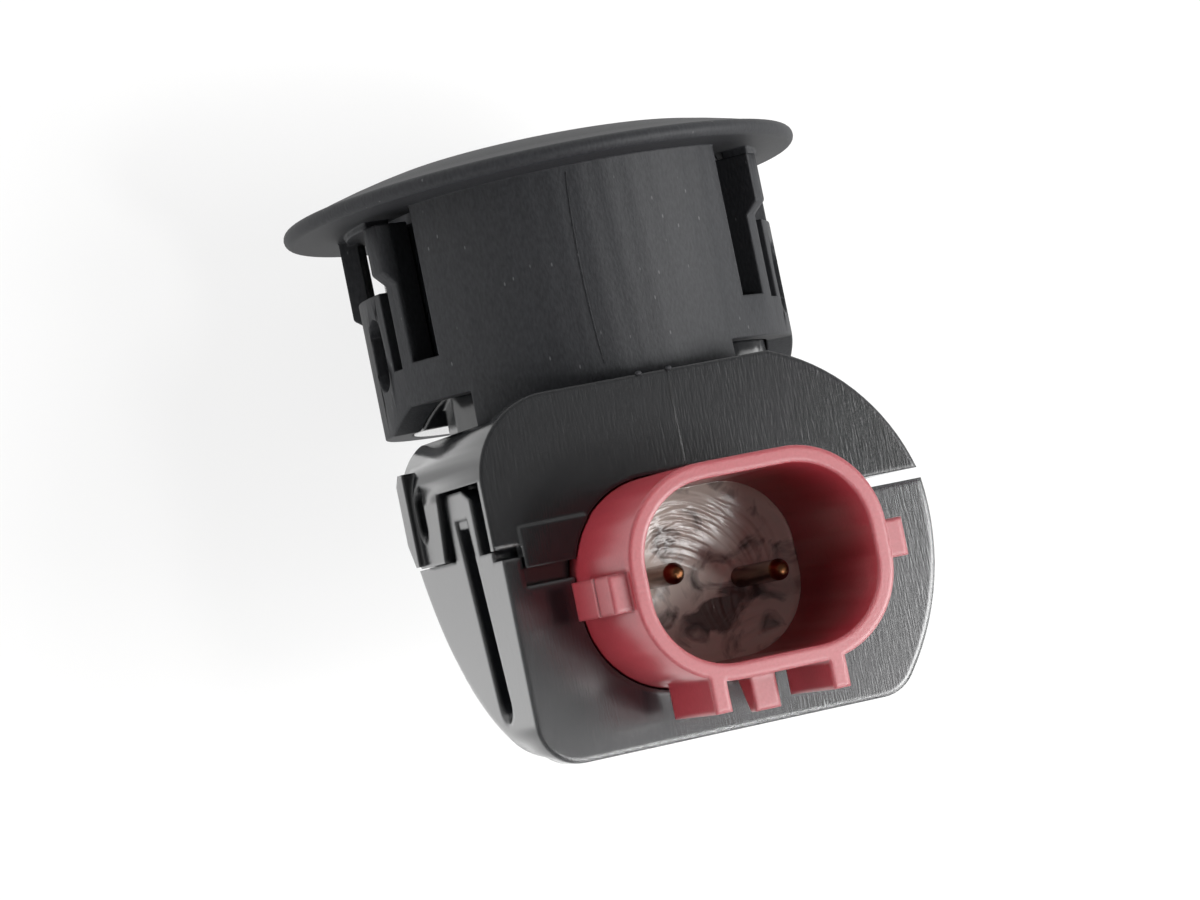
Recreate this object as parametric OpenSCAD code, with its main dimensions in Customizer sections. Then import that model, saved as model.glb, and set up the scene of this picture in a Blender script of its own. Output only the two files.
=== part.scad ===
// Elbow parking sensor: a round bezel with a snap collar, an offset housing behind it
// and a plug socket that points at a right angle to the sensing direction.
// +Y is the sensing direction, +Z the plug direction; the origin is on the collar axis
// in the plane of the flange's underside. Millimetres.

/* [Bezel and collar] */
// outer diameter of the bezel flange
flange_d = 25.2; // [24:0.1:28]
// thickness of the flange at its rim
rim_t = 0.75; // [0.6:0.05:1.2]
// rise of the domed flange face above the rim
dome_rise = 2; // [1.6:0.1:2.4]
// sideways offset of the flange from the collar axis
flange_x = -0.5; // [-1:0.1:0]
// tip of the flange against the collar, in degrees
flange_tip = -1.6; // [-2.4:0.1:0]
// outer diameter of the collar
collar_d = 20.3; // [19.8:0.1:21]
// wall of the collar
collar_wall = 1.3; // [1:0.05:1.4]
// length of the collar at its sides and back
collar_len = 10.1; // [9.8:0.1:10.4]
// length of the collar beside the apron
collar_front = 9; // [8.7:0.1:9.4]
// turn of the collar against the housing, in degrees
collar_turn = -14.6; // [-20:0.2:0]
// length of the slots beside the spring fingers
slot_len = 7; // [6:0.1:7.4]
// how far the spring fingers' humps stand proud
hump = 0.6; // [0.3:0.05:0.8]
// height of the side windows
window_h = 3.1; // [2.4:0.1:3.4]

/* [Housing] */
// upper front plate, from the collar axis to its edge on the -X side
plate_xl = 10.2; // [10:0.1:10.8]
// lower front plate, from the collar axis to its edge on the -X side
cover_xl = 9.9; // [9.6:0.1:10.2]
// distance of the front plate's face from the collar axis
plate_z = 11.3; // [11:0.1:12]
// thickness of the front plate
plate_t = 1.3; // [1:0.1:1.6]
// drop of the front plate's top edge below the flange
plate_top = 9.9; // [9.7:0.1:10.2]
// drop of the front plate's bottom edge below the flange
plate_bottom = 26.7; // [26.4:0.1:28]
// drop of the seam between housing and rear cover
seam_y = 16.8; // [16.5:0.1:17]
// width of the seam
seam_gap = 0.5; // [0.3:0.05:0.6]
// wall of the housing and of the rear cover
shell_wall = 1.2; // [1:0.05:1.3]
// how far the back of the elbow lies behind the collar axis
back_z = 1; // [0.8:0.1:1.4]

/* [Plug socket] */
// sideways place of the socket's centre
socket_x = -0.4; // [-0.6:0.05:0.2]
// drop of the socket's centre below the flange
socket_y = 19.45; // [19.2:0.05:19.7]
// outer width of the socket
socket_w = 12.4; // [12:0.1:12.8]
// outer height of the socket
socket_h = 9.7; // [9.4:0.1:10]
// corner radius of the socket
socket_r = 4.2; // [3:0.1:4.6]
// wall of the socket
socket_wall = 0.75; // [0.65:0.05:1]
// height of the socket's rim above the collar axis
socket_rim_z = 18.3; // [17:0.1:20]
// diameter of a contact pin
pin_d = 1; // [0.8:0.05:1.2]
// distance between the contact pins
pin_pitch = 5.1; // [4.2:0.05:5.6]
// height of the pin tips above the collar axis
pin_tip_z = 13.9; // [13:0.1:16]

/* [Transducer] */
// diameter of the sensing cup
cup_d = 14.4; // [14:0.1:14.8]
// depth of the sensing cup
cup_h = 8; // [7.6:0.1:8.2]
// diameter of the piezo disc
piezo_d = 10; // [8:0.1:11]

/* [Circuit] */
// thickness of the circuit board
board_t = 1; // [0.8:0.1:1.2]
// width of the circuit board
board_w = 14; // [12:0.1:14.4]

/* [Hidden] */
$fn = 72;
eps = 0.01;
fit = 0.1;
far = 60;

collar_r = collar_d / 2;
collar_in = collar_r - collar_wall;
collar_root = 0.6;
rim_r = rim_t / 2;
dome_edge = flange_d / 2 - rim_r;
dome_r = (dome_edge * dome_edge + dome_rise * dome_rise) / (2 * dome_rise);
dome_sink = 0.03;
dome_c = rim_t + dome_rise - dome_r - dome_sink;

cup_r = cup_d / 2;
cup_top = 1.9;
cup_bottom = cup_top - cup_h;
cup_face = 0.9;
cup_wall = 1.3;
spigot_r = collar_in - fit;
spigot_wall = 0.5;
spigot_in = spigot_r - spigot_wall;
spigot_top = -0.5;
ring_r = spigot_in;
ring_lip = 0.8;
ring_seat = 1.6;
ring_low = 0.1;
floor_t = 0.8;
floor_y = floor_t - collar_front;

front_wall_a = 46;
wide_slot_a = 56.5;
finger_a = 62;
narrow_slot_a = 66.5;
window_a = 126;
slot_step = 0.15;
strip_a0 = 100;
strip_a1 = 110;
strip_t = 0.45;
strip_end = 4.35;
strip_ramp = 0.35;
strip_root = 0.5;
window_top = 0.3;
window_bottom = window_top + window_h;
finger_gap = 0.35;
hump_len = 2.65;
hump_ramp = 0.55;
hump_root = 0.4;
latch_a = 75;
latch_w = 1.7;
latch_h = 3.5;
latch_y = 6.2;
latch_deep = 0.5;
latch_root = 0.3;
apron_a = 38;
apron_drop = 0.8;
apron_end = collar_len + apron_drop;
slant_left = 2.4;
slant_right = -1.2;
slant_w = 2.4;

inner_z = plate_z - plate_t;
upper_end = seam_y - seam_gap / 2;
lower_end = seam_y + seam_gap / 2;
corner_tl = 3.8;
corner_bl = 2;
corner_br = 2;
arc_x = 1.55;
arc_y = 19.15;
arc_r = 9.8;
low_arc_x = -0.7;
low_arc_y = 18.55;
low_arc_r = 11.9;
cover_xr = low_arc_x + low_arc_r;
body_drop = 0.85;
body_top = plate_top + body_drop;
back_corner = 0.6;
board_gap = 0.3;
cavity_x = board_w / 2 + board_gap;
cavity_top = body_top + shell_wall;
cavity_back = shell_wall - back_z;
neck_x = 8.1;
neck_z0 = 2;
neck_root = 0.5;
lead_way_x = 4.6;
lead_way_z0 = 2.9;
lead_way_z1 = 6;

drum_r = 15.05;
drum_gap = 0.27355;
drum_edge = 0.5;
cover_back = back_z + 0.2;

arm_z0 = 4.7;
arm_z1 = 8.3;
arm_t = 1.1;
arm_up = 3.3;
arm_top = seam_y - arm_up;
arm_nose = 0.5;
arm_root = 2;
arm_fit = 0.15;
arm_slit = 0.8;
recess_d = 1.75;
recess_skin = 0.45;
window_z0 = 5.6;
window_z1 = 7.4;
window_lean = 1.1;
arm_window_top = arm_top + 1.3;
arm_window_bottom = 24.4;
catch_h = 1.3;
catch_lip = 0.4;
catch_side = 0.15;
catch_root = 0.3;
catch_proud = 1.35;
stop_z = -0.8;
stop_h = 2.2;
stop_in = 0.4;
seat = 0.05;
guide_bottom = 22;
guide_root = 1;

tongue_in = 1.3;
tongue_w = 3.3;
tongue_top = seam_y - 1.1;
tongue_bottom = seam_y + 0.8;
tongue_proud = 0.2;
pocket_bottom = seam_y + 1.6;
pocket_d = 0.8;

hole_h = 2.64;
hole_w = 1.3;
hole_y = 14.06;
hole_z = 1.68;
hole_d = 0.9;
pad_z0 = -0.35;
pad_z1 = 0.8;
pad_top = 12;
pad_bottom = 16.45;
pad_cut = 0.5;
pad_slant = 1.1;
pad_proud = 0.28;
pad_root = 0.4;
corner_cut = 1.2;
corner_cut_x = 8.2;

socket_back_z = 7;
socket_floor_t = 0.7;
resin_t = 0.7;
resin_top_z = socket_back_z + socket_floor_t + resin_t;
lip_t = 1.2;
lip_out = 0.5;
lip_z1 = inner_z - shell_wall - fit;
lip_z0 = lip_z1 - lip_t;
guide_len = 5.2;
key_w = 0.95;
key_h = 1.75;
key_set = 0.4;
key_root = 0.4;
key_drop = 0.1;
groove_w = 0.18;
groove_d = 0.12;
groove_set = 2.2;
rib_w = 0.8;
rib_h = 1.3;
rib_gap = 5.75;
rib_root = 0.5;
rib_off = -0.32;
nub_w = 1.25;
nub_h = 1.6;
nub_len = 1.5;
nub_flat = 0.6;
nub_set = 2;
pin_off = 0.17;
pin_drop = 0.09;
pin_turn = -8.7;
pin_tip = 0.5;
pin_tail = 0.6;
shank_wall = 0.2;
shank_d = pin_d + 2 * shank_wall;

board_z = 2.9;
board_top = cavity_top + 1.3;
board_bottom = 20.9;
drum_reach = (drum_r - shell_wall - drum_gap) * sqrt(0.5);
drum_y = board_bottom - drum_reach;
drum_z = board_z + drum_reach;
board_face = board_z + board_t;
wire_d = 0.5;
wire_x = 2.6;
wire_z = board_face + wire_d / 2;
wire_lap = 1;
piezo_t = 0.5;
piezo_back = cup_top - cup_face - piezo_t;
pad_end = -2.2;

core_d = 4.4;
core_h = 2;
core_y = 16.2;
core_flange = 0.5;
core_waist = 2.2;
coil_d = 3.8;
chip_w = 5;
chip_h = 4;
chip_t = 0.9;
chip_y = 16.4;
chip_in = 1;
large_w = 2;
large_h = 1.3;
large_t = 1.2;
large_y = 16.15;
small_w = 1.6;
small_h = 0.8;
small_t = 0.8;
small_y = 18.4;
resistor_t = 0.5;
resistor_y = 16;

// turns a shape drawn along Z so that it runs along the sensing direction
module on_axis() {
    rotate([-90, 0, 0]) children();
}

// turns a shape drawn in Z and Y so that its thickness runs along X
module sideways() {
    rotate([0, -90, 0]) children();
}

// solid round about the collar axis between two heights
module rod(r, y0, y1) {
    on_axis() translate([0, 0, y0]) cylinder(r = r, h = y1 - y0);
}

module tube(r, r_in, y0, y1) {
    difference() {
        rod(r, y0, y1);
        rod(r_in, y0 - 1, y1 + 1);
    }
}

// slice about the collar axis between two angles from +Z toward +X
module slice(a0, a1, y0, y1) {
    on_axis() translate([0, 0, y0]) linear_extrude(y1 - y0)
        polygon([[0, 0],
                 [far * sin(a0), -far * cos(a0)],
                 [far * sin((a0 + a1) / 2), -far * cos((a0 + a1) / 2)],
                 [far * sin(a1), -far * cos(a1)]]);
}

// the same slice on the left and on the right of the front wall
module slice_pair(a0, a1, y0, y1) {
    slice(a0, a1, y0, y1);
    slice(-a1, -a0, y0, y1);
}

// box given by its corners
module block(x0, x1, y0, y1, z0, z1) {
    translate([x0, y0, z0]) cube([x1 - x0, y1 - y0, z1 - z0]);
}

// rectangle with one round corner at its low x, at the top (s = 1) or at the bottom
module one_corner(x0, x1, y0, y1, r, s) {
    translate([x0 + r, y0]) square([x1 - x0 - r, y1 - y0]);
    translate([x0, s > 0 ? y0 : y0 + r]) square([r + eps, y1 - y0 - r]);
    translate([x0 + r, s > 0 ? y1 - r : y0 + r]) circle(r = r);
}

// outline whose +X side is an arc
module arc_side(x, y, r) {
    translate([x, -y]) circle(r = r, $fn = 180);
    translate([-far, -far]) square([far + x, 2 * far]);
}

// the upper front plate's outline, moved in by d; it runs on below the seam
module upper_outline(d) {
    intersection() {
        one_corner(-plate_xl + d, far, -far, -plate_top - d, corner_tl - d, 1);
        arc_side(arc_x, arc_y, arc_r - d);
    }
}

// the lower front plate's outline, moved in by d; it runs on above the seam
module lower_outline(d) {
    y = corner_br - plate_bottom;
    u = y + low_arc_y;
    v = sqrt(pow(low_arc_r - corner_br, 2) - u * u);
    x = low_arc_x + v;
    difference() {
        intersection() {
            one_corner(-cover_xl + d, far, -plate_bottom + d, 0, corner_bl - d, -1);
            arc_side(low_arc_x, low_arc_y, low_arc_r - d);
        }
        difference() {
            polygon([[x, y], [x, -far], [far, -far], [x + 3 * v, y + 3 * u]]);
            translate([x, y]) circle(r = corner_br - d);
        }
    }
}

// outline of the plug socket, grown by d
module socket_outline(d) {
    w = socket_w / 2 + d;
    h = socket_h / 2 + d;
    r = socket_r + d;
    translate([socket_x, -socket_y]) {
        translate([r - w, -h]) square([2 * (w - r), 2 * h]);
        translate([-w, r - h]) square([2 * w, 2 * (h - r)]);
        for (i = [-1, 1], j = [-1, 1]) translate([i * (w - r), j * (h - r)]) circle(r = r);
    }
}

module socket_solid(d, z0, z1) {
    translate([0, 0, z0]) linear_extrude(z1 - z0) socket_outline(d);
}

// flange: flat underside, full-round rim, domed face, tipped to follow the bumper skin
module flange() {
    translate([flange_x, 0, 0]) rotate([flange_tip, 0, 0]) on_axis() rotate_extrude() {
        intersection() {
            square([dome_edge, rim_t + dome_rise + 1]);
            translate([0, dome_c]) circle(r = dome_r, $fn = 360);
        }
        translate([dome_edge, rim_r]) circle(r = rim_r);
    }
}

// ring with a ramped lower end that the fingers' humps and the side strips are cut from
module hump_ring(proud, y_end, ramp, y_top) {
    on_axis() rotate_extrude()
        polygon([[collar_r - hump_root, -y_end], [collar_r, -y_end],
                 [collar_r + proud, ramp - y_end], [collar_r + proud, y_top],
                 [collar_r - hump_root, y_top]]);
}

// slots beside the fingers, free finger ends, side windows and latch holes
module collar_openings() {
    slice_pair(front_wall_a, wide_slot_a, -slot_len, collar_len);
    slice_pair(finger_a, narrow_slot_a, -slot_len - slot_step, collar_len);
    slice_pair(wide_slot_a - eps, finger_a + eps, -finger_gap, collar_len);
    slice_pair(narrow_slot_a - eps, window_a, -window_bottom, -window_top);
    for (s = [-1, 1]) latch(s, 0, 0, far);
}

// upright oval of the side latch, moved in by d, between two distances from the axis
module latch(s, d, r0, r1) {
    w = latch_w - 2 * d;
    k = (latch_h - latch_w) / 2;
    rotate([0, s * latch_a, 0]) translate([0, -latch_y, r0]) linear_extrude(r1 - r0) {
        translate([0, k]) circle(d = w, $fn = 32);
        translate([0, -k]) circle(d = w, $fn = 32);
        translate([-w / 2, -k]) square([w, 2 * k]);
    }
}

// room below the collar, which steps up toward the apron along a slant on each side
module underside() {
    for (s = [-1, 1]) intersection() {
        z0 = s > 0 ? slant_right : slant_left;
        block(s > 0 ? 0 : -far, s > 0 ? far : 0, -far, 0, -far, far);
        sideways() linear_extrude(2 * far, center = true)
            polygon([[-far, -collar_len], [z0, -collar_len], [z0 + slant_w, -collar_front],
                     [far, -collar_front], [far, -far], [-far, -far]]);
    }
}

// collar wall with its openings; its top is sunk in the tipped flange
module collar_wall_ring() {
    difference() {
        tube(collar_r, collar_in, -apron_end, collar_root);
        collar_openings();
        difference() {
            underside();
            slice(-apron_a, apron_a, -far, 1);
        }
    }
    intersection() {
        hump_ring(hump, hump_len + hump_ramp, hump_ramp, -finger_gap);
        slice_pair(wide_slot_a, finger_a, -collar_len, 1);
    }
    intersection() {
        union() {
            hump_ring(strip_t, strip_end, strip_ramp, collar_root / 2);
            tube(collar_r, collar_r - strip_t, -window_bottom - strip_root, 0);
        }
        slice_pair(strip_a0, strip_a1, -collar_len, 1);
    }
}

module mount_collar() {
    color("#3a3b3d") union() {
        difference() {
            flange();
            rod(ring_r + fit / 2, -collar_len, collar_len);
        }
        rotate([0, collar_turn, 0]) collar_wall_ring();
    }
}

// spigot inside the collar, with a floor cut level with the collar's underside
module spigot() {
    difference() {
        union() {
            tube(spigot_r, spigot_in, floor_y, spigot_top);
            rod(spigot_r, -collar_len, cup_bottom - ring_lip);
        }
        rotate([0, collar_turn, 0]) underside();
    }
    intersection() {
        rod(spigot_r, -body_top - 1, neck_root - collar_front);
        block(-neck_x, neck_x, -far, 0, neck_z0, spigot_r);
    }
}

// elbow body behind the upper plate, and the plate itself
module upper_body() {
    intersection() {
        linear_extrude(2 * far, center = true) upper_outline(0);
        sideways() linear_extrude(2 * far, center = true) {
            one_corner(-back_z, inner_z, -upper_end, -body_top, back_corner, 1);
            translate([inner_z - eps, -upper_end]) square([plate_t + eps, upper_end]);
        }
    }
}

// side recess that takes the rear cover's snap arm, and the catch in it
module arm_recess() {
    z1 = plate_z - recess_skin;
    translate([recess_d - plate_xl, 0, 0]) sideways() linear_extrude(far)
        polygon([[arm_z0 - arm_fit, arm_fit - arm_top], [z1, arm_fit - arm_top], [z1, -upper_end - 1],
                 [arm_z0 - arm_slit, -upper_end - 1], [arm_z0 - arm_slit, -upper_end]]);
}

module arm_catch() {
    x = plate_xl - recess_d;
    y = arm_window_top;
    mirror([1, 0, 0]) translate([0, 0, window_z0 + catch_side])
        linear_extrude(window_z1 - window_z0 - 2 * catch_side)
            polygon([[x - catch_root, -y], [x + catch_proud, -y], [x + catch_proud, -y - catch_lip],
                     [x, -y - catch_h], [x - catch_root, -y - catch_h]]);
}

// guide wall that runs down behind the snap arm's window
module arm_guide() {
    block(recess_d - plate_xl, -cavity_x, -guide_bottom, guide_root - upper_end, arm_z0 - arm_fit, arm_z1);
}

// low raised pad at the back of the side, its ends cut slanting
module side_pad() {
    translate([pad_root - plate_xl, 0, 0]) sideways() linear_extrude(pad_root + pad_proud)
        polygon([[pad_z0, -pad_top - pad_cut], [pad_z0 + pad_cut, -pad_top], [pad_z1, -pad_top],
                 [pad_z1, -pad_bottom], [pad_z1 - pad_cut, -pad_bottom],
                 [pad_z0, pad_slant - pad_bottom]]);
}

// slanted cut at the lower back corner beside the pad
module side_corner() {
    translate([-corner_cut_x, 0, 0]) sideways() linear_extrude(far)
        polygon([[-far, corner_cut - upper_end], [-back_z, corner_cut - upper_end],
                 [corner_cut - back_z, -upper_end], [corner_cut - back_z, -far], [-far, -far]]);
}

// upright oval blind hole beside the pad
module side_hole() {
    k = (hole_h - hole_w) / 2;
    translate([hole_d - plate_xl, -hole_y, hole_z]) sideways() linear_extrude(far) {
        translate([0, k]) circle(d = hole_w, $fn = 40);
        translate([0, -k]) circle(d = hole_w, $fn = 40);
        translate([-hole_w / 2, -k]) square([hole_w, 2 * k]);
    }
}

// tongue that laps over the seam into a pocket of the rear cover
module tongue() {
    x0 = tongue_in - plate_xl;
    block(x0, x0 + tongue_w, -tongue_bottom, -tongue_top, plate_z - pocket_d + fit, plate_z + tongue_proud);
}

module tongue_pocket() {
    x0 = tongue_in - plate_xl;
    block(x0 - fit, x0 + tongue_w + fit, -pocket_bottom, 0, plate_z - pocket_d, far);
}

// room for the socket and its lip in the two shells
module socket_room() {
    socket_solid(fit, socket_back_z - fit, far);
    socket_solid(lip_out + fit, lip_z0 - fit, lip_z1 + fit);
}

module sensor_housing() {
    color("#3b3d40") union() {
        housing_shell();
        for (s = [-1, 1])
            rotate([0, collar_turn, 0]) latch(s, fit, spigot_r - latch_root, collar_r - latch_deep);
    }
}

module housing_shell() {
    difference() {
        union() {
            spigot();
            difference() {
                upper_body();
                arm_recess();
                side_corner();
            }
            arm_catch();
            arm_guide();
            side_pad();
            tongue();
        }
        // room for the collar's apron
        rotate([0, collar_turn, 0]) intersection() {
            tube(collar_r + fit, spigot_r + fit / 2, -apron_end - fit, 1);
            slice(-apron_a - 1, apron_a + 1, -far, 1);
        }
        // seat of the decoupling ring, room behind it and the way down to the board
        rod(spigot_in - ring_seat, floor_y, collar_len);
        block(-cavity_x, cavity_x, -far, board_gap - board_top, cavity_back, inner_z - shell_wall);
        intersection() {
            block(-cavity_x, far, -far, -cavity_top, cavity_back, inner_z - shell_wall);
            linear_extrude(2 * far, center = true) upper_outline(shell_wall);
        }
        block(-lead_way_x, lead_way_x, -cavity_top - 1, floor_y + floor_t, lead_way_z0, lead_way_z1);
        socket_room();
        side_hole();
    }
}

// drum about an axis along X with a rounded edge on the -X side
module drum(r, x0, e) {
    translate([0, -drum_y, drum_z]) rotate([0, 90, 0]) rotate_extrude($fn = 180) {
        translate([0, x0]) square([r - e, far]);
        translate([0, x0 + e]) square([r, far]);
        translate([r - e, x0 + e]) circle(r = e, $fn = 48);
    }
}

// the rear cover's closed rounded form, moved in by d, up to height y_end
module cover_body(d, y_end, z_end) {
    intersection() {
        drum(drum_r - d, d - cover_xl, drum_edge);
        linear_extrude(2 * far, center = true) lower_outline(d);
        block(-far, far, -far, y_end, d - cover_back, z_end);
    }
}

// lower plate, closed back and the taller wall that closes the seam on the -X side
module cover_shell() {
    difference() {
        union() {
            cover_body(0, -lower_end, inner_z);
            intersection() {
                cover_body(0, -upper_end - seat, inner_z);
                block(-far, shell_wall - cover_xl, -far, 0, -far, far);
            }
            intersection() {
                translate([0, 0, inner_z - eps]) linear_extrude(plate_t + eps) lower_outline(0);
                block(-far, far, -far, -lower_end, 0, far);
            }
        }
        cover_body(shell_wall, 0, inner_z - shell_wall);
        socket_room();
        tongue_pocket();
    }
}

// snap arm on the -X side, its upper end cut to a nose
module snap_arm() {
    translate([arm_t - cover_xl, 0, 0]) sideways() linear_extrude(arm_t)
        polygon([[arm_z0, -lower_end - arm_root], [arm_z0, -arm_top - arm_nose / 2],
                 [arm_z0 + arm_nose, -arm_top], [arm_z1 - 2 * arm_nose, -arm_top],
                 [arm_z1, -arm_top - arm_nose], [arm_z1, -lower_end - arm_root]]);
}

// window through the arm and the wall below it, leaning toward the front plate
module arm_window() {
    w = window_z1 - window_z0;
    y0 = w / 2 - arm_window_bottom;
    translate([arm_t + shell_wall - cover_xl, 0, 0]) sideways() linear_extrude(far) {
        polygon([[window_z0, -arm_window_top], [window_z1, -arm_window_top],
                 [window_z1 + window_lean, y0], [window_z0 + window_lean, y0]]);
        translate([window_z0 + window_lean + w / 2, y0]) circle(d = w, $fn = 40);
    }
}

module rear_cover() {
    color("#2c2e31") difference() {
        union() {
            cover_shell();
            snap_arm();
            // stops that meet the housing's edge inside the seam
            block(stop_in - cover_xl, shell_wall - cover_xl, -lower_end - 1, -upper_end,
                  stop_z, stop_z + stop_h);
            block(cover_xr - shell_wall, cover_xr - stop_in, -lower_end - 1, -upper_end,
                  stop_z, stop_z + stop_h);
        }
        arm_window();
    }
}

// rib under the socket, from its rim back
module socket_rib(s) {
    x = socket_x + rib_off + s * rib_gap / 2;
    y = -socket_y - socket_h / 2;
    block(x - rib_w / 2, x + rib_w / 2, y - rib_h, y + rib_root, socket_rim_z - guide_len, socket_rim_z);
}

module lock_nub() {
    x = socket_x + rib_off - nub_w / 2;
    translate([x, -socket_y - socket_h / 2, socket_rim_z - nub_set])
        rotate([0, 90, 0]) linear_extrude(nub_w)
            polygon([[0, rib_root], [0, -nub_h], [nub_flat, -nub_h], [nub_len, 0], [nub_len, rib_root]]);
}

// key on the side of the socket with a groove across it
module socket_key(s) {
    x = socket_w / 2 + s * socket_x;
    y = -socket_y - key_drop;
    z = socket_rim_z - groove_set;
    mirror([s > 0 ? 0 : 1, 0, 0]) difference() {
        block(x - key_root, x + key_w, y - key_h / 2, y + key_h / 2,
              socket_rim_z - guide_len, socket_rim_z - key_set);
        block(x + key_w - groove_d, x + key_w + 1, y - key_h, y + key_h, z - groove_w, z);
    }
}

// place of a contact pin
module at_pin(s) {
    translate([socket_x + pin_off, -socket_y - pin_drop, 0]) rotate(pin_turn)
        translate([s * pin_pitch / 2, 0, 0]) children();
}

module pin_holes() {
    for (s = [-1, 1]) at_pin(s) cylinder(d = shank_d, h = resin_top_z + 1, $fn = 32);
}

module connector_shroud() {
    color("#a8333f") difference() {
        union() {
            socket_solid(0, inner_z, socket_rim_z);
            // inside the elbow the socket keeps clear of the rounded back
            intersection() {
                union() {
                    socket_solid(0, socket_back_z, inner_z + eps);
                    intersection() {
                        socket_solid(lip_out, lip_z0, lip_z1);
                        block(-far, far, -socket_y, 0, 0, far);
                    }
                }
                drum(drum_r - shell_wall - fit, shell_wall + fit - cover_xl, drum_edge);
            }
            for (s = [-1, 1]) {
                socket_rib(s);
                socket_key(s);
            }
            lock_nub();
        }
        socket_solid(-socket_wall, socket_back_z + socket_floor_t, far);
        pin_holes();
    }
}

// contact pin: a thicker shank through board, socket floor and resin, a free end in the socket
module terminal(s) {
    at_pin(s) {
        translate([0, 0, board_z - pin_tail])
            cylinder(d = shank_d, h = resin_top_z - board_z + pin_tail, $fn = 32);
        translate([0, 0, resin_top_z - eps])
            cylinder(d = pin_d, h = pin_tip_z - pin_tip - resin_top_z + eps, $fn = 32);
        translate([0, 0, pin_tip_z - pin_tip]) cylinder(d1 = pin_d, d2 = pin_d / 2, h = pin_tip, $fn = 32);
    }
}

module terminal_left() {
    color("#8d744f") terminal(-1);
}

module terminal_right() {
    color("#8d744f") terminal(1);
}

module socket_resin() {
    color("#9c8c8e") difference() {
        socket_solid(-socket_wall, socket_back_z + socket_floor_t, resin_top_z);
        pin_holes();
    }
}

module transducer_cup() {
    color("#b9bcc0") difference() {
        rod(cup_r, cup_bottom, cup_top);
        rod(cup_r - cup_wall, cup_bottom - 1, cup_top - cup_face);
    }
}

module decoupling_ring() {
    color("#56585b") difference() {
        rod(ring_r, cup_bottom - ring_lip, cup_top - ring_low);
        rod(cup_r, cup_bottom, cup_top + 1);
        rod(cup_r - cup_wall, cup_bottom - collar_len, cup_top);
    }
}

module piezo_disc() {
    color("#d8d2c4") rod(piezo_d / 2, piezo_back, piezo_back + piezo_t);
}

// passages of the two leads through a solid
module wire_ways() {
    for (s = [-1, 1]) translate([s * wire_x, 0, wire_z]) rod(wire_d / 2, -far, far);
}

module damping_pad() {
    color("#6f6f72") difference() {
        rod(cup_r - cup_wall, pad_end, piezo_back);
        wire_ways();
    }
}

module cup_potting() {
    color("#8f8a84") difference() {
        rod(cup_r - cup_wall, cup_bottom, pad_end);
        wire_ways();
    }
}

module lead(s) {
    translate([s * wire_x, 0, wire_z]) rod(wire_d / 2, -board_top - wire_lap, piezo_back);
}

module lead_wire_left() {
    color("#b8322c") lead(-1);
}

module lead_wire_right() {
    color("#20242a") lead(1);
}

module circuit_board() {
    color("#2f6b45") difference() {
        block(-board_w / 2, board_w / 2, -board_bottom, -board_top, board_z, board_face);
        pin_holes();
    }
}

module transformer_core() {
    color("#3c3835") translate([0, -core_y, board_face]) {
        cylinder(d = core_d, h = core_flange, $fn = 48);
        cylinder(d = core_waist, h = core_h, $fn = 48);
        translate([0, 0, core_h - core_flange]) cylinder(d = core_d, h = core_flange, $fn = 48);
    }
}

module transformer_coil() {
    color("#b06a35") translate([0, -core_y, board_face + core_flange]) difference() {
        cylinder(d = coil_d, h = core_h - 2 * core_flange, $fn = 48);
        translate([0, 0, -core_h]) cylinder(d = core_waist, h = 3 * core_h, $fn = 48);
    }
}

module control_chip() {
    color("#1c1d1f") block(-chip_w / 2, chip_w / 2, -chip_y - chip_h / 2, -chip_y + chip_h / 2,
                           board_z - chip_t, board_z);
}

module capacitor_large() {
    x1 = board_w / 2 - chip_in;
    color("#b79f78") block(x1 - large_w, x1, -large_y - large_h / 2, -large_y + large_h / 2,
                           board_face, board_face + large_t);
}

module capacitor_small() {
    x1 = board_w / 2 - chip_in;
    color("#b79f78") block(x1 - small_w, x1, -small_y - small_h / 2, -small_y + small_h / 2,
                           board_face, board_face + small_t);
}

module resistor() {
    x0 = chip_in - board_w / 2;
    color("#24262a") block(x0, x0 + small_w, -resistor_y - small_h / 2, -resistor_y + small_h / 2,
                           board_face, board_face + resistor_t);
}

mount_collar();
sensor_housing();
rear_cover();
connector_shroud();
terminal_left();
terminal_right();
socket_resin();
transducer_cup();
decoupling_ring();
piezo_disc();
damping_pad();
cup_potting();
lead_wire_left();
lead_wire_right();
circuit_board();
transformer_core();
transformer_coil();
control_chip();
capacitor_large();
capacitor_small();
resistor();
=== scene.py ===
import math

import bpy
import numpy as np
from mathutils import Matrix, Vector


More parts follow.
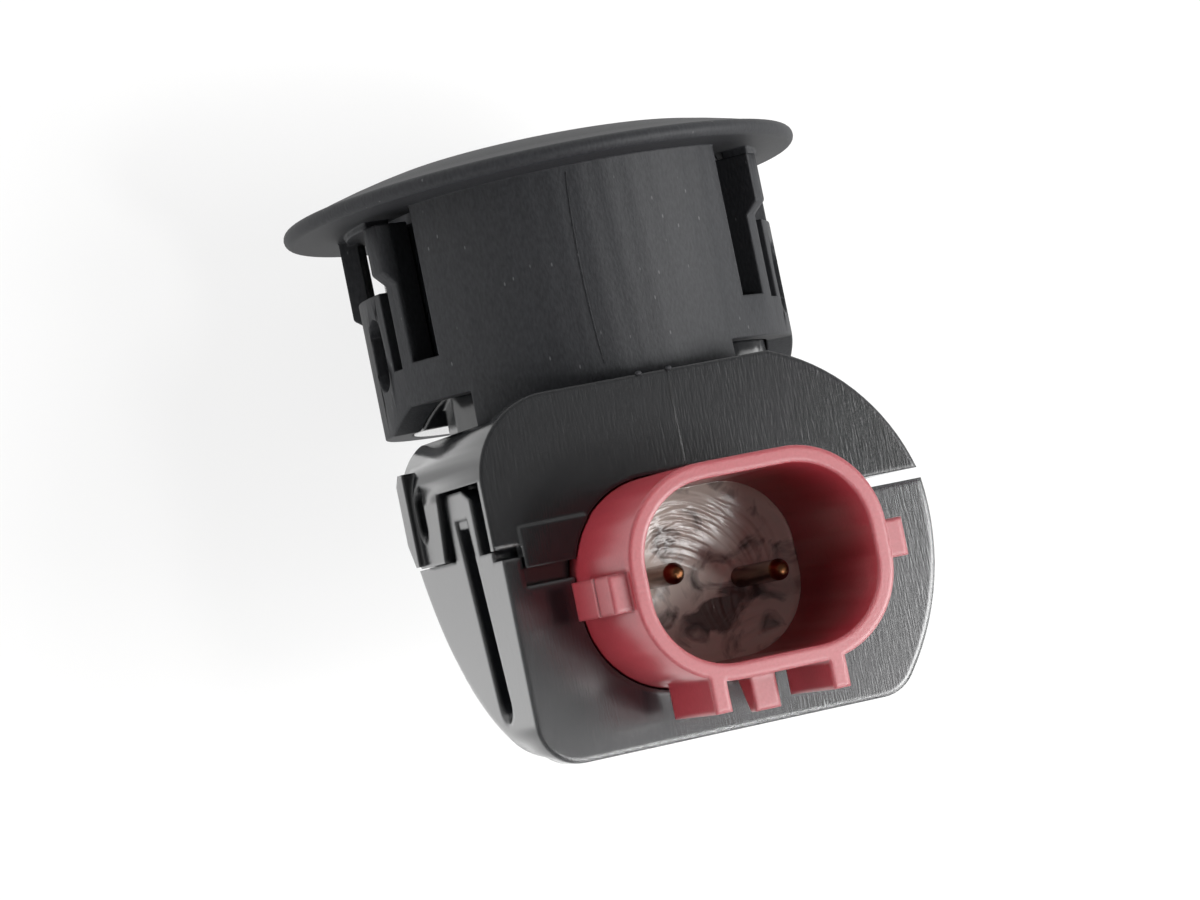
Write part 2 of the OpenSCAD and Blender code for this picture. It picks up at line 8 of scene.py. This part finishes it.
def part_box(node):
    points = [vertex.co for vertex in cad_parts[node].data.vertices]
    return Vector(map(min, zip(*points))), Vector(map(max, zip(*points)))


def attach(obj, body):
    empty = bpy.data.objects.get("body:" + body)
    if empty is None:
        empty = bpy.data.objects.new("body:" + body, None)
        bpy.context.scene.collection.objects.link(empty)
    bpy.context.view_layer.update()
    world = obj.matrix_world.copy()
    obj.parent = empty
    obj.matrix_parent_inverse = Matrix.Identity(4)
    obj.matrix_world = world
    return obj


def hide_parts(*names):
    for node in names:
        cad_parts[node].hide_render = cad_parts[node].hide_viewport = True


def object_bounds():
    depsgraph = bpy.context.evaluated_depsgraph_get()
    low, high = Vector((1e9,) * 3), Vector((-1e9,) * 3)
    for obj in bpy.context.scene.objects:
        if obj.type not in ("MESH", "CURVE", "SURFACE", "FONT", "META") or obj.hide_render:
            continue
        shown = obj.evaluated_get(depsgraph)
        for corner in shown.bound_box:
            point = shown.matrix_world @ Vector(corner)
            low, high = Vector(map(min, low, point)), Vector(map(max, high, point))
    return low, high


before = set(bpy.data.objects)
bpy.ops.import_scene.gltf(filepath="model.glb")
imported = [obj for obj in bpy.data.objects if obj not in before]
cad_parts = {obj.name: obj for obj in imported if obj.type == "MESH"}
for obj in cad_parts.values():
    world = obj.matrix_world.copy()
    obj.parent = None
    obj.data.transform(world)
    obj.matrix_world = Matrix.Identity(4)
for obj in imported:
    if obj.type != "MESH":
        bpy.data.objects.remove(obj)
cad_low, cad_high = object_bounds()

# Bezel with its collar: one moulding in dark grey polypropylene, seen from behind.
# The flange covers the edge of the bumper's hole and the collar's humps spring against it.
# The mould was spark eroded, so the skin is matte with a fine grain and a few pale specks.
COLLAR_GREY = "#1b1c1f"
COLLAR_TINT = "#27282b"
COLLAR_SPECK = "#4c4c4e"
COLLAR_SPECK_MM = 0.4
EDGE_SAMPLES = 6
MM = 0.001


def linear(code):
    """Scene-linear RGBA of an sRGB hex colour: each channel through the sRGB curve."""
    raw = np.array([int(code[i:i + 2], 16) for i in (1, 3, 5)]) / 255
    low = raw / 12.92
    high = ((raw + 0.055) / 1.055) ** 2.4
    return (*np.where(raw <= 0.04045, low, high).tolist(), 1.0)


def add(tree, kind, settings=None, links=None):
    """Adds a node: settings go to its inputs or properties by name, links feed its inputs."""
    node = tree.nodes.new(kind)
    for key, value in (settings or {}).items():
        if isinstance(key, int) or key in node.inputs:
            node.inputs[key].default_value = value
        else:
            setattr(node, key, value)
    for key, socket in (links or {}).items():
        tree.links.new(socket, node.inputs[key])
    return node


def blank(name):
    """A material with only an output, ready for its own nodes; returns (material, tree, output)."""
    material = bpy.data.materials.new(name)
    material.use_nodes = True
    tree = material.node_tree
    tree.nodes.clear()
    return material, tree, add(tree, "ShaderNodeOutputMaterial")


def blend(tree, share, first, second):
    """Colour mix of two sockets or RGBA values by a share socket; returns the colour socket."""
    mix = add(tree, "ShaderNodeMix", {"data_type": "RGBA"}, {0: share})
    for slot, colour in ((6, first), (7, second)):
        if isinstance(colour, tuple):
            mix.inputs[slot].default_value = colour
        else:
            tree.links.new(colour, mix.inputs[slot])
    return mix.outputs[2]


def moulded(name, base, tint, grain_mm, rough, relief_mm, draw=1.0, speck=None, coat=None,
            edge_mm=0.1, index=1.5):
    """Moulded plastic: a fine grain in two close colours that also lifts the skin by relief_mm.

    draw stretches the grain along Y, the way the mould was drawn, and speck is the colour of pale
    spots, one in every third cell of COLLAR_SPECK_MM. coat is the roughness and the refractive
    index of a polished skin, index that of the plastic, edge_mm the radius light sees on edges.
    """
    material, tree, out = blank(name)
    place = add(tree, "ShaderNodeTexCoord").outputs["Object"]
    drawn = add(tree, "ShaderNodeMapping", {"Scale": (1.0, 1.0 / draw, 1.0)}, {"Vector": place})
    grain = add(tree, "ShaderNodeTexNoise", {"Scale": 1 / (grain_mm * MM), "Detail": 3.0},
                {"Vector": drawn.outputs["Vector"]})
    share = add(tree, "ShaderNodeMapRange", {"From Min": 0.3, "From Max": 0.7},
                {"Value": grain.outputs["Fac"]})
    colour = blend(tree, share.outputs["Result"], linear(base), linear(tint))
    if speck:
        cells = add(tree, "ShaderNodeTexVoronoi", {"Scale": 1 / (COLLAR_SPECK_MM * MM)},
                    {"Vector": drawn.outputs["Vector"]})
        spot = add(tree, "ShaderNodeMapRange",
                   {"From Min": 0.05, "From Max": 0.12, "To Min": 1.0, "To Max": 0.0},
                   {"Value": cells.outputs["Distance"]})
        lot = add(tree, "ShaderNodeSeparateColor", None, {"Color": cells.outputs["Color"]})
        chosen = add(tree, "ShaderNodeMath", {"operation": "GREATER_THAN", 1: 0.67},
                     {0: lot.outputs["Red"]})
        pale = add(tree, "ShaderNodeMath", {"operation": "MULTIPLY"},
                   {0: spot.outputs["Result"], 1: chosen.outputs["Value"]})
        colour = blend(tree, pale.outputs["Value"], colour, linear(speck))
    worn = add(tree, "ShaderNodeBevel", {"samples": EDGE_SAMPLES, "Radius": edge_mm * MM})
    bump = add(tree, "ShaderNodeBump", {"Strength": 1.0, "Distance": relief_mm * MM},
               {"Height": grain.outputs["Fac"], "Normal": worn.outputs["Normal"]})
    shader = add(tree, "ShaderNodeBsdfPrincipled", {"Roughness": rough, "IOR": index},
                 {"Base Color": colour, "Normal": bump.outputs["Normal"]})
    if coat:
        tree.links.new(bump.outputs["Normal"], shader.inputs["Coat Normal"])
        shader.inputs["Coat Weight"].default_value = 1.0
        shader.inputs["Coat Roughness"].default_value = coat[0]
        shader.inputs["Coat IOR"].default_value = coat[1]
    tree.links.new(shader.outputs["BSDF"], out.inputs["Surface"])
    return material


def dress(node, material, edge_mm=0.0):
    """Gives a solid its material, and breaks its sharp edges by edge_mm as a mould does."""
    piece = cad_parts[node]
    piece.data.materials.clear()
    piece.data.materials.append(material)
    if edge_mm:
        weld = piece.modifiers.new("weld", "WELD")
        weld.merge_threshold = 1e-6
        bevel = piece.modifiers.new("broken edge", "BEVEL")
        bevel.width = edge_mm * MM
        bevel.segments = 2
        bevel.limit_method = "ANGLE"
        bevel.angle_limit = math.radians(40)
        bevel.harden_normals = True


collar_plastic = moulded("moulded polypropylene, grey", COLLAR_GREY, COLLAR_TINT, grain_mm=0.12, rough=0.6,
                         relief_mm=0.014, draw=2.5, speck=COLLAR_SPECK, edge_mm=0.12, index=1.4)
dress("mount_collar", collar_plastic, edge_mm=0.08)

# Flash line on the collar's front, where the two halves of the mould met: a fine raised seam of
# the collar's own plastic that bows a little on its way down from the flange.
COLLAR_R_MM = 10.15
FLASH_TURN = math.radians(-15.1)
FLASH_BOW = math.radians(-4.0)
FLASH_R_MM = 0.045
FLASH_TOP_MM, FLASH_END_MM = -0.05, -9.05
FLASH_POINTS = 40
RIDGE_SIDES = 8
RIDGE_END = 0.002
OFF_EVERY_RIDGE = (0.31, 0.17, 0.93)
scene = bpy.context.scene


def build(name, points, faces, material):
    """A finished piece on the root body from points in metres and faces that look outward."""
    mesh = bpy.data.meshes.new(name)
    mesh.from_pydata(points.tolist(), [], faces)
    mesh.polygons.foreach_set("use_smooth", [True] * len(mesh.polygons))
    mesh.materials.append(material)
    piece = bpy.data.objects.new(name, mesh)
    scene.collection.objects.link(piece)
    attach(piece, "root")
    return piece


def ring_faces(rings, sides):
    """Four-sided faces between each ring of points and the next, every ring closed on itself."""
    ring, side = np.meshgrid(np.arange(rings - 1), np.arange(sides), indexing="ij")
    beside = (side + 1) % sides
    corners = [ring * sides + side, (ring + 1) * sides + side,
               (ring + 1) * sides + beside, ring * sides + beside]
    return np.stack(corners, axis=-1).reshape(-1, 4).tolist()


def ridge(name, path_mm, radius_mm, material):
    """A fine ridge: a circle carried along a path, whose ends shrink almost to points.

    Each circle lies across the path's direction; its radius follows the fourth root of half a
    sine wave along the path, so that both ends run out.
    """
    path = np.asarray(path_mm, float)
    ahead = np.gradient(path, axis=0)
    ahead /= np.linalg.norm(ahead, axis=1, keepdims=True)
    side = np.cross(ahead, OFF_EVERY_RIDGE)
    side /= np.linalg.norm(side, axis=1, keepdims=True)
    above = np.cross(side, ahead)
    turn = np.linspace(0, 2 * np.pi, RIDGE_SIDES, endpoint=False)[None, :, None]
    swell = np.sin(np.pi * np.linspace(RIDGE_END, 1 - RIDGE_END, len(path))) ** 0.25
    circle = np.cos(turn) * side[:, None] + np.sin(turn) * above[:, None]
    points = (path[:, None] + radius_mm * swell[:, None, None] * circle).reshape(-1, 3) * MM
    last = len(points) - RIDGE_SIDES
    caps = [list(range(RIDGE_SIDES)), list(range(last + RIDGE_SIDES - 1, last - 1, -1))]
    return build(name, points, ring_faces(len(path), RIDGE_SIDES) + caps, material)


run = np.linspace(0, 1, FLASH_POINTS)
angle = FLASH_TURN + FLASH_BOW * run * (1 - run)
collar_flash = np.stack([COLLAR_R_MM * np.sin(angle),
                         FLASH_TOP_MM + (FLASH_END_MM - FLASH_TOP_MM) * run,
                         COLLAR_R_MM * np.cos(angle)], axis=1)
ridge("collar_flash_line", collar_flash, FLASH_R_MM, collar_plastic)

# Sensor housing: carries the transducer in front and the board behind, moulded in dark PBT.
# Its front plate closes the upper half of the elbow; the mould was drawn along the plate and left
# fine streaks that way, with a flash line and, at the top edge, two nubs of torn, matte flash.
HOUSING_DARK = "#0c0d0f"
HOUSING_TINT = "#191a1c"
HOUSING_DRAW = 9.0
PLATE_Z_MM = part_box("rear_cover")[1][2] / MM
PLATE_FLASH_X_MM = -0.3
PLATE_FLASH_TOP_MM, PLATE_FLASH_END_MM = -10.0, -14.5
PLATE_FLASH_POINTS = 20
NUBS_MM = ((-1.69, -9.86), (-0.2, -9.88))
NUB_HALF_MM = 0.16
NUB_R_MM = 0.11
NUB_POINTS = 7


def on_plate(start_mm, end_mm, points):
    """A straight path on the front plate: even steps from one (x, y) place to another."""
    return np.linspace((*start_mm, PLATE_Z_MM), (*end_mm, PLATE_Z_MM), points)


housing_plastic = moulded("moulded PBT, dark grey", HOUSING_DARK, HOUSING_TINT, grain_mm=0.1, rough=0.19,
                          relief_mm=0.006, draw=HOUSING_DRAW, coat=(0.17, 1.5), edge_mm=0.25)
dress("sensor_housing", housing_plastic, edge_mm=0.14)
plate_flash = on_plate((PLATE_FLASH_X_MM, PLATE_FLASH_TOP_MM), (PLATE_FLASH_X_MM, PLATE_FLASH_END_MM),
                       PLATE_FLASH_POINTS)
ridge("plate_flash_line", plate_flash, FLASH_R_MM, housing_plastic)
for number, (nub_x, nub_y) in enumerate(NUBS_MM):
    nub = on_plate((nub_x - NUB_HALF_MM, nub_y), (nub_x + NUB_HALF_MM, nub_y), NUB_POINTS)
    ridge(f"flash_nub_{number}", nub, NUB_R_MM, collar_plastic)

# Rear cover: the lower half of the elbow, moulded in black PBT in a polished mould.
# An arm snaps over a catch of the housing; the smooth walls mirror what lies around them.
COVER_BLACK = "#0e0f12"
COVER_TINT = "#18191c"
cover_plastic = moulded("moulded PBT, black, polished", COVER_BLACK, COVER_TINT, grain_mm=0.1, rough=0.2,
                        relief_mm=0.005, draw=HOUSING_DRAW, coat=(0.2, 1.8), edge_mm=0.35)
dress("rear_cover", cover_plastic, edge_mm=0.15)

# Plug socket: moulded in red PBT and set into the opening between the two front plates.
# Its keys and ribs guide the plug; the skin is satin, so rounded edges carry a soft pale sheen.
SOCKET_RED = "#88202a"
SOCKET_PALE = "#942c36"
socket_plastic = moulded("moulded PBT, red", SOCKET_RED, SOCKET_PALE, grain_mm=0.15, rough=0.36,
                         relief_mm=0.004, coat=(0.35, 1.6), edge_mm=0.3)
dress("connector_shroud", socket_plastic, edge_mm=0.16)

# Contact pins: cut from drawn brass wire, tumbled until the ends were round, and plated.
# The thin plating has browned, so the sides are dark and the ends catch warm glints.
PINS = ("terminal_left", "terminal_right")
PIN_BROWN = "#66442d"


def metal(name, base, rough, spot_mm, edge_mm=0.05):
    """Bare metal: one colour with a roughness that wavers in spots spot_mm wide.

    edge_mm is the radius that light sees on edges.
    """
    material, tree, out = blank(name)
    place = add(tree, "ShaderNodeTexCoord").outputs["Object"]
    spots = add(tree, "ShaderNodeTexNoise", {"Scale": 1 / (spot_mm * MM), "Detail": 2.0},
                {"Vector": place})
    gloss = add(tree, "ShaderNodeMapRange", {"To Min": rough * 0.7, "To Max": rough * 1.3},
                {"Value": spots.outputs["Fac"]})
    worn = add(tree, "ShaderNodeBevel", {"samples": EDGE_SAMPLES, "Radius": edge_mm * MM})
    shader = add(tree, "ShaderNodeBsdfPrincipled", {"Base Color": linear(base), "Metallic": 1.0},
                 {"Roughness": gloss.outputs["Result"], "Normal": worn.outputs["Normal"]})
    tree.links.new(shader.outputs["BSDF"], out.inputs["Surface"])
    return material


pin_metal = metal("plated brass", PIN_BROWN, rough=0.16, spot_mm=0.2, edge_mm=0.35)
for pin in PINS:
    dress(pin, pin_metal)

# Resin floor of the socket: poured grey-brown epoxy that was smeared while it set, so its wet-looking
# skin lies in curved brush marks. It has crept up the pins and the wall, and one oval patch is coloured in
# the dark colour.
RESIN_DARK = "#453d3b"
RESIN_PALE = "#cfc6bc"
RESIN_CORNER_MM = 3.45
RESIN_RINGS, RESIN_SPOKES = 90, 300
# Each stroke: x and y from the socket's middle in mm, heading in degrees, reach in mm.
# Each hair of a stroke: its strength, its rate against the pitch and how it slants along the stroke.
STROKES = ((-3.6, 2.0, 65, 1.5), (-1.6, 2.7, 35, 1.4), (0.9, 2.5, -25, 1.5), (-4.2, -0.9, 100, 1.3),
           (3.2, 1.3, -60, 1.3), (-2.2, -2.6, 140, 1.3), (1.6, -0.9, 75, 1.0), (2.6, -2.5, 15, 1.4))
STROKE_BEND = 0.22
HAIRS = ((1.0, 1.0, 0.0), (0.6, 1.73, 0.8), (0.4, 2.9, -1.0))
HAIR_MM = 0.016
HAIR_PITCH_MM = 0.5
CREEP_MM = 0.16
CREEP_REACH_MM = 0.22
DISH_MM = 0.6
# One oval patch on the resin coloured in the dark colour: its place in mm from the middle, its turn and its
# size.
DARK_PATCH_MM = (1.1, -1.85)
DARK_PATCH_TURN = math.radians(20)
DARK_PATCH_SIZE_MM = (2.2, 0.95, 9.0)
DARK_PATCH_SMEAR_MM = 2.0


def poured(name, dark, pale, swirl_mm, rough, dark_patch=None):
    """Poured resin: smears of two colours, bent by a coarse noise, under a wet gloss.

    The last argument, if given, is the place in metres of one oval patch coloured in the dark colour;
    the swirl that bends the smears also pushes the patch's edge about, by up to half of DARK_PATCH_SMEAR_MM
    either way.
    """
    material, tree, out = blank(name)
    place = add(tree, "ShaderNodeTexCoord").outputs["Object"]
    swirl = add(tree, "ShaderNodeTexNoise",
                {"Scale": 1 / (swirl_mm * MM), "Detail": 5.0, "Distortion": 2.2}, {"Vector": place})
    share = add(tree, "ShaderNodeMapRange", {"From Min": 0.26, "From Max": 0.48},
                {"Value": swirl.outputs["Fac"]})
    colour = blend(tree, share.outputs["Result"], linear(dark), linear(pale))
    if dark_patch:
        smeared = add(tree, "ShaderNodeVectorMath",
                      {"operation": "MULTIPLY_ADD", 1: (DARK_PATCH_SMEAR_MM * MM,) * 3},
                      {0: swirl.outputs["Color"], 2: place})
        patch = add(tree, "ShaderNodeMapping",
                    {"vector_type": "TEXTURE", "Location": [spot + DARK_PATCH_SMEAR_MM * MM / 2 for spot in dark_patch],
                     "Rotation": (0.0, 0.0, DARK_PATCH_TURN), "Scale": [size * MM for size in DARK_PATCH_SIZE_MM]},
                    {"Vector": smeared.outputs["Vector"]})
        ball = add(tree, "ShaderNodeTexGradient", {"gradient_type": "SPHERICAL"},
                   {"Vector": patch.outputs["Vector"]})
        depth = add(tree, "ShaderNodeMapRange", {"From Min": 0.0, "From Max": 0.3, "To Max": 0.85},
                    {"Value": ball.outputs["Fac"]})
        colour = blend(tree, depth.outputs["Result"], colour, linear(dark))
    shader = add(tree, "ShaderNodeBsdfPrincipled", {"Roughness": rough, "IOR": 1.55},
                 {"Base Color": colour})
    tree.links.new(shader.outputs["BSDF"], out.inputs["Surface"])
    return material


def resin_outline(half_w, half_h, corner, heading):
    """Distance from the middle to the edge of a round-cornered rectangle in each heading.

    A ray meets the upright side, the level side or else the corner's circle, in that order.
    """
    across, along = np.abs(np.cos(heading)) + 1e-9, np.abs(np.sin(heading)) + 1e-9
    flat_w, flat_h = half_w - corner, half_h - corner
    reach = across * flat_w + along * flat_h
    to_corner = reach + np.sqrt(reach ** 2 - flat_w ** 2 - flat_h ** 2 + corner ** 2)
    on_side = along * half_w / across <= flat_h
    on_top = across * half_h / along <= flat_w
    return np.where(on_side, half_w / across, np.where(on_top, half_h / along, to_corner))


def brush_marks(x, y):
    """Height of the brush marks in mm: sines across each stroke, which is bent as a parabola.

    A stroke is the sum of its hairs, faded by a bell curve along it and a narrower one across it.
    """
    height = np.zeros_like(x)
    for stroke_x, stroke_y, heading, reach in STROKES:
        east, north = math.cos(math.radians(heading)), math.sin(math.radians(heading))
        ahead = (x - stroke_x) * east + (y - stroke_y) * north
        aside = (y - stroke_y) * east - (x - stroke_x) * north + STROKE_BEND * ahead ** 2 / reach
        phase = 2 * np.pi * aside / HAIR_PITCH_MM
        hair = sum(strength * np.sin(rate * phase + slant * ahead) for strength, rate, slant in HAIRS)
        height += HAIR_MM * hair * np.exp(-(ahead / reach) ** 2 / 2 - (aside / reach) ** 2)
    return height


def creep(distance):
    """Height in mm to which the resin crept up: it decays with the distance from wall or pin."""
    return CREEP_MM * np.exp(-distance / CREEP_REACH_MM)


def resin_skin(low, high):
    """Points in mm and faces of the floor in a box: rings by spokes, from the middle to the wall.

    The height adds brush marks, a dish that rises as the square of the way out, and creep at the
    wall and the pins. A ring at the foot and a point in the middle of each side close the shape.
    """
    middle = (low + high) / 2
    heading = np.linspace(0, 2 * np.pi, RESIN_SPOKES, endpoint=False)
    edge = resin_outline(*(high - low)[:2] / 2, RESIN_CORNER_MM, heading)
    outward = np.linspace(0, 1, RESIN_RINGS)[1:, None]
    x = outward * edge * np.cos(heading)
    y = outward * edge * np.sin(heading)
    lift = brush_marks(x, y) + DISH_MM * outward ** 2 + creep((1 - outward) * edge)
    for pin in PINS:
        pin_low, pin_high = (np.array(corner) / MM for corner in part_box(pin))
        pin_x, pin_y, _ = (pin_low + pin_high) / 2 - middle
        pin_r = (pin_high[0] - pin_low[0]) / 2
        lift += creep(np.maximum(np.hypot(x - pin_x, y - pin_y) - pin_r, 0))
    top = np.stack([x + middle[0], y + middle[1], high[2] + lift], axis=-1).reshape(-1, 3)
    foot = np.column_stack([top[-RESIN_SPOKES:, :2], np.full(RESIN_SPOKES, low[2])])
    hubs = [[*middle[:2], high[2]], [*middle[:2], low[2]]]
    spoke = np.arange(RESIN_SPOKES)
    beside = (spoke + 1) % RESIN_SPOKES
    hub = np.full(RESIN_SPOKES, len(top) + len(foot))
    crown = np.stack([spoke, beside, hub], axis=-1)
    underside = np.stack([len(top) + beside, len(top) + spoke, hub + 1], axis=-1)
    faces = ring_faces(RESIN_RINGS, RESIN_SPOKES) + crown.tolist() + underside.tolist()
    return np.concatenate([top, foot, hubs]), faces


resin_low, resin_high = (np.array(corner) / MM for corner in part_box("socket_resin"))
resin_points, resin_faces = resin_skin(resin_low, resin_high)
dark_patch_place = (resin_low + resin_high) / 2 + (*DARK_PATCH_MM, 0)
resin = poured("poured epoxy resin", RESIN_DARK, RESIN_PALE, swirl_mm=2.4, rough=0.24,
               dark_patch=tuple(dark_patch_place * MM))
skin = build("resin_floor", resin_points * MM, resin_faces, resin)
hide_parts("socket_resin")

# Transducer: a deep-drawn aluminium cup whose front is the sensing membrane, held in a moulded
# silicone ring; the piezo disc, its damping pad and the filling sit behind the membrane.
# The cup is satin grey and the ring dull, and the two leads to the board are insulated wires.
CUP_GREY = "#b4b6b9"
RING_GREY, RING_TINT = "#58595c", "#636467"
cup_metal = metal("deep-drawn aluminium", CUP_GREY, rough=0.4, spot_mm=0.3)
ring_rubber = moulded("moulded silicone, grey", RING_GREY, RING_TINT, grain_mm=0.25, rough=0.62,
                      relief_mm=0.006)
disc_ceramic = moulded("sintered piezo ceramic", "#cfc7b2", "#d9d3c2", grain_mm=0.2, rough=0.6,
                       relief_mm=0.004)
pad_foam = moulded("closed-cell foam", "#5c5d60", "#6d6e71", grain_mm=0.4, rough=0.85, relief_mm=0.03)
cup_filling = poured("poured silicone", "#7d766c", "#8f887d", swirl_mm=3.0, rough=0.45)
red_wire = moulded("insulated wire, red", "#a5302a", "#b03a33", grain_mm=0.3, rough=0.45, relief_mm=0.002)
black_wire = moulded("insulated wire, black", "#202226", "#2a2c30", grain_mm=0.3, rough=0.45, relief_mm=0.002)
dress("transducer_cup", cup_metal, edge_mm=0.1)
dress("decoupling_ring", ring_rubber, edge_mm=0.1)
dress("piezo_disc", disc_ceramic)
dress("damping_pad", pad_foam)
dress("cup_potting", cup_filling)
dress("lead_wire_left", red_wire)
dress("lead_wire_right", black_wire)

# Board with its parts: glass laminate under green lacquer, a drum transformer that drives the
# membrane, the control chip and three small chips, all soldered to the faces of the board.
# The lacquer shines softly, copper glints through its enamel, and the fired bodies are dull.
board_laminate = moulded("lacquered glass laminate", "#2c6a44", "#347a50", grain_mm=0.3, rough=0.35,
                         relief_mm=0.003)
core_ferrite = moulded("sintered ferrite", "#3a3633", "#46413d", grain_mm=0.2, rough=0.7, relief_mm=0.006)
coil_copper = metal("enamelled copper", "#b9713c", rough=0.3, spot_mm=0.12)
chip_epoxy = moulded("moulded epoxy, black", "#1d1e20", "#26272a", grain_mm=0.15, rough=0.6, relief_mm=0.004)
resistor_glass = moulded("fired glass film", "#222428", "#2c2e33", grain_mm=0.15, rough=0.5, relief_mm=0.003)
chip_ceramic = moulded("fired ceramic, tan", "#b49c74", "#bfa880", grain_mm=0.15, rough=0.55, relief_mm=0.003)
dress("circuit_board", board_laminate)
dress("transformer_core", core_ferrite)
dress("transformer_coil", coil_copper)
dress("control_chip", chip_epoxy)
dress("resistor", resistor_glass)
for chip in ("capacitor_large", "capacitor_small"):
    dress(chip, chip_ceramic)

# Stage: a white painted floor under the part that shows its shadow faintly, a sky that is bright at
# the sides and dim overhead, a soft lamp to the right and a small one that shines into the socket.
# The floor and the sky are white where they are seen, and the sky is brighter where it only lights.
FLOOR_WHITE = "#f4f4f3"
SKY_WHITE = "#ffffff"
FLOOR_SIZE_MM = 4000
FLOOR_GAP_MM = 0.2
FLOOR_GLOW = 0.75
SKY_SIDE, SKY_TOP = 4.4, 0.17


def looked_at(tree):
    """One for rays that are seen, straight, mirrored or through a clear piece, else zero."""
    sight = add(tree, "ShaderNodeLightPath")
    straight_or_mirrored = add(tree, "ShaderNodeMath", {"operation": "MAXIMUM"},
                               {0: sight.outputs["Is Camera Ray"], 1: sight.outputs["Is Glossy Ray"]})
    seen = add(tree, "ShaderNodeMath", {"operation": "MAXIMUM"},
               {0: straight_or_mirrored.outputs["Value"], 1: sight.outputs["Is Transmission Ray"]})
    return seen.outputs["Value"]


floor_z = cad_low[2] - FLOOR_GAP_MM * MM
half = FLOOR_SIZE_MM * MM / 2
floor_mesh = bpy.data.meshes.new("floor")
floor_mesh.from_pydata([(-half, -half, floor_z), (half, -half, floor_z),
                        (half, half, floor_z), (-half, half, floor_z)], [], [(0, 1, 2, 3)])
floor = bpy.data.objects.new("floor", floor_mesh)
scene.collection.objects.link(floor)
floor_paint, floor_tree, floor_out = blank("floor paint")
paint = add(floor_tree, "ShaderNodeBsdfDiffuse", {"Color": linear(FLOOR_WHITE)})
glow = add(floor_tree, "ShaderNodeEmission", {"Strength": 1.0})
glow_share = add(floor_tree, "ShaderNodeMath", {"operation": "MULTIPLY", 1: FLOOR_GLOW},
                 {0: looked_at(floor_tree)})
surface = add(floor_tree, "ShaderNodeMixShader", None,
              {0: glow_share.outputs["Value"], 1: paint.outputs["BSDF"], 2: glow.outputs["Emission"]})
floor_tree.links.new(surface.outputs["Shader"], floor_out.inputs["Surface"])
floor_mesh.materials.append(floor_paint)

world = bpy.data.worlds.new("studio")
scene.world = world
scene.view_settings.view_transform = "Standard"
world.use_nodes = True
sky_tree = world.node_tree
sky = sky_tree.nodes["Background"]
sky.inputs["Color"].default_value = linear(SKY_WHITE)
way = add(sky_tree, "ShaderNodeTexCoord")
height = add(sky_tree, "ShaderNodeSeparateXYZ", None, {"Vector": way.outputs["Generated"]})
light = add(sky_tree, "ShaderNodeMapRange",
            {"From Min": 0.1, "From Max": 0.55, "To Min": SKY_SIDE, "To Max": SKY_TOP},
            {"Value": height.outputs["Z"]})
capped = add(sky_tree, "ShaderNodeMath", {"operation": "MINIMUM", 1: 1.0}, {0: light.outputs["Result"]})
strength = add(sky_tree, "ShaderNodeMix", None,
               {0: looked_at(sky_tree), 2: light.outputs["Result"], 3: capped.outputs["Value"]})
sky_tree.links.new(strength.outputs[0], sky.inputs["Strength"])


def lamp(name, place_mm, aim_mm, size_mm, watts):
    """A square soft lamp at a place in millimetres, turned to look at another."""
    data = bpy.data.lights.new(name, "AREA")
    data.energy = watts
    data.size = size_mm * MM
    lit = bpy.data.objects.new(name, data)
    place = Vector(place_mm) * MM
    aim = Vector(aim_mm) * MM
    turn = (aim - place).to_track_quat("-Z", "Y").to_matrix().to_4x4()
    lit.matrix_world = Matrix.Translation(place) @ turn
    lit.visible_camera = False
    scene.collection.objects.link(lit)


lamp("key lamp", place_mm=(278, -120, 298), aim_mm=(0, -18, 8), size_mm=250, watts=2.0)
lamp("plug lamp", place_mm=(115, -125, 370), aim_mm=(0, -19, 8), size_mm=60, watts=0.36)

# Camera: from the plug's side, turned left of it and rolled, at the photograph's distance.
# The focal length and the place where the part's origin falls are in pixels of the photograph.
YAW = math.radians(20.22)
PITCH = math.radians(-2.0)
ROLL = math.radians(-11.58)
DISTANCE_MM = 196.3
FOCAL_PX = 4045.1
IMAGE_W, IMAGE_H = 1200, 900
ORIGIN_X, ORIGIN_Y = 549.9, 196.1
SENSOR_MM = 36
NEAREST_MM = 10

back = Vector((-math.sin(YAW) * math.cos(PITCH), math.sin(PITCH), math.cos(YAW) * math.cos(PITCH)))
sideways = Vector((0, 1, 0)).cross(back).normalized()
upright = back.cross(sideways)
right = sideways * math.cos(ROLL) + upright * math.sin(ROLL)
up = upright * math.cos(ROLL) - sideways * math.sin(ROLL)
distance = DISTANCE_MM * MM
aside = (ORIGIN_X - IMAGE_W / 2) / FOCAL_PX * distance
above = (IMAGE_H / 2 - ORIGIN_Y) / FOCAL_PX * distance
eye = back * distance - right * aside - up * above
lens = bpy.data.cameras.new("camera")
lens.sensor_fit = "HORIZONTAL"
lens.sensor_width = SENSOR_MM
lens.lens = FOCAL_PX / IMAGE_W * SENSOR_MM
lens.clip_start = NEAREST_MM * MM
camera = bpy.data.objects.new("camera", lens)
facing = Matrix((right, up, back)).transposed().to_4x4()
camera.matrix_world = Matrix.Translation(eye) @ facing
scene.collection.objects.link(camera)
scene.camera = camera
